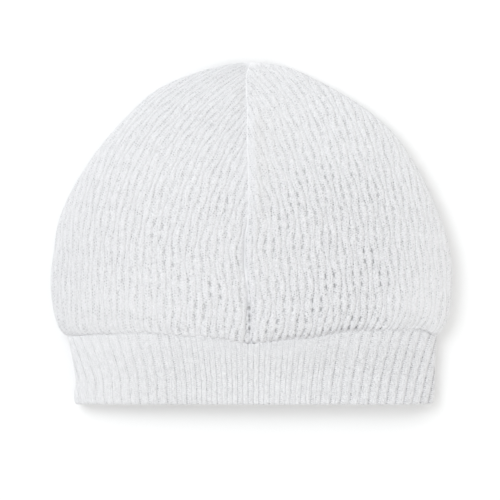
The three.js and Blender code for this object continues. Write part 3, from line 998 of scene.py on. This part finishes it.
def relief_tree(name, numbers, build):
    """A tree that sinks the surface by what build() gives."""
    tree = bpy.data.node_groups.new(name, "GeometryNodeTree")
    kinds = {"Geometry": "Geometry", **dict.fromkeys(numbers, "Float"), "Cotton": "Material"}
    for label, kind in kinds.items():
        socket = tree.interface.new_socket(label, in_out="INPUT", socket_type="NodeSocket" + kind)
        if label in numbers:
            socket.default_value = numbers[label]
    tree.interface.new_socket("Geometry", in_out="OUTPUT", socket_type="NodeSocketGeometry")
    start = add(tree, "NodeGroupInput").outputs
    sizes = {label: Field(tree, start[label]) for label in numbers}

    def stored(label):
        node = add(tree, "GeometryNodeInputNamedAttribute", {"Name": label}, data_type="FLOAT")
        return Field(tree, node.outputs["Attribute"])

    geometry, sink = build(tree, start["Geometry"], sizes, stored)
    normal = add(tree, "GeometryNodeInputNormal").outputs[0]
    offset = add(tree, "ShaderNodeVectorMath", {0: normal, "Scale": sink * -1.0}, operation="SCALE")
    steps = {
        "GeometryNodeSetPosition": {"Offset": offset.outputs[0]},
        "GeometryNodeRealizeInstances": {},
        "GeometryNodeSetMaterial": {"Material": start["Cotton"]},
    }
    for kind, inputs in steps.items():
        geometry = add(tree, kind, {"Geometry": geometry, **inputs}).outputs[0]
    add(tree, "NodeGroupOutput", {0: geometry})
    return tree


def grown(piece, tree, cotton):
    """Runs a tree on a piece and keeps a plain mesh."""
    modifier = piece.modifiers.new(tree.name, "NODES")
    modifier.node_group = tree
    modifier[tree.interface.items_tree["Cotton"].identifier] = cotton
    graph = bpy.context.evaluated_depsgraph_get()
    mesh = bpy.data.meshes.new_from_object(
        piece.evaluated_get(graph), preserve_all_data_layers=True, depsgraph=graph)
    piece.modifiers.clear()
    piece.data = mesh
    print(piece.name, "triangles:", triangles(piece))


# %% Knit the openwork
DRIFT_PER_METRE = 60.0  # the stitches wander together in patches of about 17 mm
COURSE_SWAY = 1.2  # courses along the wale, from one end of the sway to the other
GATHER_REACH = (0.5, 5.0)  # the ridges are deeper near the join, and plain from here on


def build_openwork(tree, geometry, sizes, stored):
    """The relief of the crown: ridges, eyelets and a little unevenness."""
    place = add(tree, "GeometryNodeInputPosition").outputs[0]
    drift = add(
        tree, "ShaderNodeTexNoise",
        {"Vector": place, "Scale": DRIFT_PER_METRE, "Detail": 2.0, "W": sizes["Seed"]},
        noise_dimensions="4D")
    sway = Field(tree, drift.outputs["Fac"]) - 0.5
    wale = stored("wale") + sway * sizes["Sway"]
    course = stored("course") + sway * COURSE_SWAY
    ridge, eyelet, _, _ = openwork(wale, course)
    for label, value in (("wale", wale), ("course", course)):
        store = add(
            tree, "GeometryNodeStoreNamedAttribute",
            {"Geometry": geometry, "Name": label, "Value": value},
            data_type="FLOAT", domain="POINT")
        geometry = store.outputs[0]
    gather = (1.0 - stored("edge").eased(*GATHER_REACH)) * stored("gather") + 1.0
    sink = (1.0 - ridge) * sizes["Ridge depth"] * gather
    sink = sink.math("MAXIMUM", eyelet * sizes["Eyelet depth"])
    return geometry, sink * stored("slack") * stored("knit")


openwork_tree = relief_tree(
    "openwork_relief",
    {"Ridge depth": 0.00038, "Eyelet depth": 0.0005, "Sway": 0.32, "Seed": 3.0},
    build_openwork)
print("openwork tree:", len(openwork_tree.nodes), "nodes")

# %% [markdown]
# ## The rib of the band
#
# Two knit wales stand up, two purl wales sink between them and close up, so the channel is
# narrower than the rounded ridge. Where the rib is pulled open, a fine line runs down the ridge.

# %% Knit the rib
RIB_PHASE = 2 / 3  # the first channel lies this share of a rib from the back seam


def rib_shape(rib, middle):
    """The curve of a ridge, the pinched channel and the line, 0 to 1."""
    across = abs((rib - RIB_PHASE).math("FRACT") - 0.5) * 2.0  # 1 in the channel, 0 on the crest
    curve = across ** 2.4 * (1.0 - middle * 0.6)
    pinch = across.eased(middle * 0.1 + 0.76, 0.97)
    line = (1.0 - across.eased(0.02, 0.13)) * middle
    return curve, pinch, line


def build_rib(tree, geometry, sizes, stored):
    """The relief of the band: channels, and a fine line along each ridge."""
    curve, pinch, line = rib_shape(stored("rib"), stored("middle"))
    sink = (curve * 0.8 + pinch * 0.2) * sizes["Channel depth"] + line * sizes["Line depth"]
    return geometry, sink * stored("slack") * stored("knit")


rib_tree = relief_tree("rib_relief", {"Channel depth": 0.0006, "Line depth": 0.00012}, build_rib)
print("rib tree:", len(rib_tree.nodes), "nodes")

# %% [markdown]
# ## White cotton
#
# Combed cotton, bleached white, has no shine: light goes a little way in and comes out soft, so it
# is rough all over with a faint sheen from loose fibres. Colour alone would look like plaster. The
# eye reads knitwear from its loops, so V-shaped stitches, the pores between their legs, the strands
# of each ridge and a fuzz of fibres are a bump worked out from the same numbers, and the pores,
# creases and eyelets also get painted shade.

# %% Colours and a start for every white


def linear(code):
    """An sRGB hex colour as linear red, green, blue and alpha."""
    channels = [int(code[i:i + 2], 16) / 255 for i in (1, 3, 5)]
    return [c / 12.92 if c <= 0.04045 else ((c + 0.055) / 1.055) ** 2.4 for c in channels] + [1.0]


COTTON = linear("#f5f5f7")  # bleached cotton
COTTON_IN_PAINTED_SHADE = linear("#96979a")  # the same yarn in painted shade, as deep in an eyelet, crease or pore
COTTON_FINISH = {
    "Roughness": 0.92, "IOR": 1.53,  # cellulose
    "Specular IOR Level": 0.25, "Sheen Weight": 0.12, "Sheen Roughness": 0.6,
}
COTTON_BUMP = 0.0002  # metres for a bump of one


def rough(name, colour, finish):
    """A plain material, with its tree and its shader node."""
    material = bpy.data.materials.new(name)
    material.use_nodes = True
    shader = material.node_tree.nodes["Principled BSDF"]
    for label, value in {"Base Color": colour, **finish}.items():
        shader.inputs[label].default_value = value
    return material, material.node_tree, shader


def read(tree, labels):
    """Stored numbers of the mesh, as fields of a material."""
    for label in labels.split():
        node = add(tree, "ShaderNodeAttribute", attribute_name=label, attribute_type="GEOMETRY")
        yield Field(tree, node.outputs["Fac"])


def finish_cotton(tree, shader, shade, height):
    """Mixes in the colour of painted shade by shade, and adds the bump of height."""
    mix = add(
        tree, "ShaderNodeMix", {"Factor": shade, 6: COTTON, 7: COTTON_IN_PAINTED_SHADE}, data_type="RGBA")
    tree.links.new(mix.outputs[2], shader.inputs["Base Color"])
    bump = add(tree, "ShaderNodeBump", {"Height": height, "Distance": COTTON_BUMP})
    tree.links.new(bump.outputs[0], shader.inputs["Normal"])


print("bleached cotton, linear red:", round(COTTON[0], 3))

# %% The yarn close up
FUZZ_PER_METRE = 1800.0  # tufts of about 0.56 mm
PORE_SCATTER = 0.4  # how far a pore strays, in stitches


def pores(tree, columns, rows, size):
    """Small gaps between stitches, each a little off its place, for their bump and their painted
    shade.
    """
    column = (columns + 0.5).math("FLOOR")
    level = rows + column.math("FLOORED_MODULO", 2.0) * 0.5
    row = (level + 0.5).math("FLOOR")
    parts = add(tree, "ShaderNodeSeparateXYZ", {0: dice(tree, column, row)["Color"]}).outputs
    aside, up, strength = (Field(tree, part) for part in parts)
    away = (columns - column - (aside - 0.5) * PORE_SCATTER) ** 2.0
    away = away + (level - row - (up - 0.5) * PORE_SCATTER) ** 2.0
    return (1.0 - away.eased(0.02, size)) * strength.eased(-0.2, 1.0)


def legs(columns, rows):
    """Height of V-shaped stitches: two slanting legs to a column."""
    aside = abs(columns.math("FRACT") - 0.5)
    return ((rows + aside * 2.0) * math.tau).math("SINE") * 0.5 + 0.5


def fuzz(tree):
    """The uneven surface of loose fibres."""
    place = add(tree, "ShaderNodeTexCoord").outputs["Object"]
    fibres = add(
        tree, "ShaderNodeTexNoise", {"Vector": place, "Scale": FUZZ_PER_METRE, "Detail": 0.0})
    return Field(tree, fibres.outputs["Fac"])


def strands(tree, across, along):
    """Streaks of the strands of yarn that lie side by side."""
    place = add(tree, "ShaderNodeCombineXYZ", {0: across, 1: along}).outputs[0]
    streaks = add(
        tree, "ShaderNodeTexNoise", {"Vector": place, "Scale": 1.0, "Detail": 1.0},
        noise_dimensions="2D")
    return Field(tree, streaks.outputs["Fac"])


print(f"fuzz {1000 / FUZZ_PER_METRE:.2f} mm across")

# %% [markdown]
# ## Openwork cotton
#
# Creases, pores and eyelets get painted shade, dark where the cloth is slack, because they are deep
# there, and faint where it is taut. The seam gets painted dashes of shade where its stitches sink at
# its foot, and a thin painted shadow higher.

# %% Colour and bump of the crown
COLUMNS_PER_WALE = 2.5  # five columns of stitches to each pair of ridges
SEAM_STITCH = 2.7  # mm from one stitch of the seam to the next
SEAM_LINE = 0.45  # mm, about half the width of its painted shadow
knit_cotton, tree, shader = rough("bleached_cotton_openwork", COTTON, COTTON_FINISH)
wale, course, knit, slack, edge, seam = read(tree, "wale course knit slack edge seam")
ridge, eyelet, crease, cluster = openwork(wale, course)
columns = wale * COLUMNS_PER_WALE
gaps = pores(tree, columns, course, 0.14)
deep = slack.eased(0.4, 1.6)
speckle = fuzz(tree)
strand = strands(tree, columns * 4.0, course * 0.3)
height = (legs(columns, course) * 0.5 + ridge * 1.45 - gaps * 0.6 - 1.0) * knit
height = height + strand * 0.9 + speckle * (slack * 0.9 + 0.7)
# painted shade: the creases and pores are darkened, deeper where the cloth is slack and in the
# clusters
dark = crease * (deep * 0.14 + 0.03) * (gaps + 0.7)
dark = dark + gaps * (deep * 0.14 + cluster * 0.33 + 0.03)
dark = dark + (0.5 - speckle) * (slack * 0.3 + 0.15) + (0.5 - strand) * 0.25 + 0.122
# painted shade inside the eyelets
shade = dark.math("MAXIMUM", eyelet * (gaps * 0.3 + deep * 0.58 + 0.24)) * knit
# painted shade of the seam: dark dashes where its stitches sink at the foot, and a thin painted
# shadow along it
foot = 1.0 - edge.eased(22.0, 28.0)  # the painted dashes show up to here
dash = abs((edge / SEAM_STITCH).math("FRACT") - 0.5) ** 2.0 * foot * 5.0
dash = dash + (seam / SEAM_LINE) ** 2.0
drawn = edge.eased(1.0, 6.0) * (1.0 - edge.eased(14.0, 22.0)) * ((edge * 1.3).math("SINE") + 2.0)
drawn = drawn + edge.eased(28.0, 34.0) * (1.0 - edge.eased(42.0, 50.0)) * 0.6
shade = shade.math("MAXIMUM", (1.0 - dash.eased(0.1, 1.8)) * drawn * 0.3)
finish_cotton(tree, shader, shade, height)
print("openwork cotton:", len(tree.nodes), "nodes")

# %% [markdown]
# ## Rib cotton
#
# The same yarn, knitted finer, with four columns to a rib. Where it is slack, purl bars show as
# beads along one lip of each ridge, in painted highlights and painted shade, and the channels, lines
# and pores get painted shade. Where the ribs fade, as where it is stretched, painted shade makes the
# cloth an even grey-white.

# %% Colour and bump of the band
RIB_COURSE = 0.88  # mm from loop to loop
RIB_COLUMNS = 4.0
LIP_AT = 0.14  # the lip, as a share of a rib from the middle of the channel
rib_cotton, tree, shader = rough("bleached_cotton_rib", COTTON, COTTON_FINISH)
rib, height_mm, knit, slack, middle = read(tree, "rib height knit slack middle")
curve, pinch, line = rib_shape(rib, middle)
rows = height_mm / RIB_COURSE
gaps = pores(tree, rib * RIB_COLUMNS, rows, 0.16)
speckle = fuzz(tree)
strand = strands(tree, rib * 9.0, height_mm * 0.3)
lip = 1.0 - abs((rib - RIB_PHASE).math("FRACT") - LIP_AT).eased(0.03, 0.12)
beads = lip * (rows * math.tau).math("SINE") * slack
loops = legs(rib * RIB_COLUMNS, rows) * 0.5 - gaps * 0.8 + strand * 1.2
loops = loops + beads * 0.5 + lip * (1.0 - slack * 0.8)
height = (loops - line * 0.9 - pinch * 0.5 - curve * 0.8) * (knit * 0.8 + 0.2)
height = height + speckle * (slack * 0.9 + 0.7)
# painted shade in the channels, pores and lines, deeper where the rib is slack; the beads get painted
# highlights and painted shade by turns
dark = gaps * (pinch * (1.0 - middle * 0.6) * 0.5 + 0.14) + pinch * 0.06
dark = dark * (slack * 0.8 + 0.15) + (line + pinch * middle) * 0.24 - beads * 0.2
# painted shade where the ribs fade: at the join, where the rib is stretched smooth below it, round
# the fold and inside
shade = dark * (knit * 0.7 + 0.3) + (1.0 - knit) * 0.22
shade = shade + (0.5 - strand) * 0.32 + (0.5 - speckle) * (slack * 0.2 + 0.15)
# painted shade a little deeper where the rib is slack, over an even base tone
shade = shade + slack * 0.05 + 0.07
finish_cotton(tree, shader, shade, height)
print("rib cotton:", len(tree.nodes), "nodes")


# %% [markdown]
# ## Handing the pieces to the frame
#
# Each tree runs once and its result is kept as a plain mesh. Each dressed piece takes the place of
# its plain solid and rides on the one body there is.

# %% Grow, ride, replace
for piece in panels.values():
    grown(piece, openwork_tree, knit_cotton)
grown(band, rib_tree, rib_cotton)
for name, piece in panels.items():
    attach(piece, "root")
    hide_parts(name)
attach(band, "root")
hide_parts("rib_band")
print("pieces handed over:", [*panels, "rib_band"])

# %% [markdown]
# ## Table, light and camera
#
# A white table, a large soft lamp at the upper left, pale light from all round and a faint warm
# reflector low at the right. A small lamp would draw hard black eyelets, and light from all round
# alone would flatten the ridges. The camera looks straight down through a long lens, so that the
# outline shows almost without perspective.

# %% The table
HALF_TABLE = 2.5
TABLE_DROP = 0.0001  # just below the cloth, so that the two never flicker
MATTE = {"Roughness": 1.0, "Specular IOR Level": 0.0}
CORNERS = ((-1, -1), (1, -1), (1, 1), (-1, 1))
table_mesh = bpy.data.meshes.new("table_top")
table_mesh.from_pydata(
    [(x * HALF_TABLE, y * HALF_TABLE, -TABLE_DROP) for x, y in CORNERS], [], [(0, 1, 2, 3)])
table_mesh.materials.append(rough("white_painted_table", linear("#fafafa"), MATTE)[0])
table_top = placed("table_top", table_mesh)
print("table, metres wide:", 2 * HALF_TABLE)

# %% Light
world = bpy.data.worlds.new("pale_studio")
world.use_nodes = True
background = world.node_tree.nodes["Background"]
background.inputs["Color"].default_value = linear("#fdfdfc")
background.inputs["Strength"].default_value = 0.84
bpy.context.scene.world = world
centre = (Vector(cad_bounds[0]) + Vector(cad_bounds[1])) / 2


def lamp(name, towards, distance, size, power, colour):
    """A square soft lamp that looks at the beanie from a direction."""
    light = bpy.data.lights.new(name, "AREA")
    light.size = size
    light.energy = power
    light.color = colour
    holder = placed(name, light)
    direction = Vector(towards).normalized()
    holder.location = centre + direction * distance
    holder.rotation_euler = (-direction).to_track_quat("-Z", "Y").to_euler()
    print(f"{name}: {size} m wide, {power} W")


lamp("key_softbox", (-0.74, 0.56, 1.3), 1.6, 1.0, 10.0, (0.93, 0.965, 1.0))
lamp("warm_reflector", (0.95, -0.2, 0.3), 1.3, 0.6, 2.3, (1.0, 0.96, 0.88))

# %% Camera
CAMERA_HEIGHT = 1.4
VIEW_WIDTH = 0.2105
LOOK_AT = (-0.00063, -0.0070)
FOLD_HEIGHT = 0.007  # the outline lies at the height of the side folds
SENSOR = 36.0
camera_data = bpy.data.cameras.new("overhead")
camera_data.sensor_width = SENSOR
camera_data.lens = SENSOR * (CAMERA_HEIGHT - FOLD_HEIGHT) / VIEW_WIDTH
camera_data.clip_start = 0.05
camera = placed("overhead", camera_data)
camera.location = (*LOOK_AT, CAMERA_HEIGHT)
bpy.context.scene.camera = camera
bpy.context.scene.view_settings.view_transform = "Standard"
print(f"lens {camera_data.lens:.0f} mm")
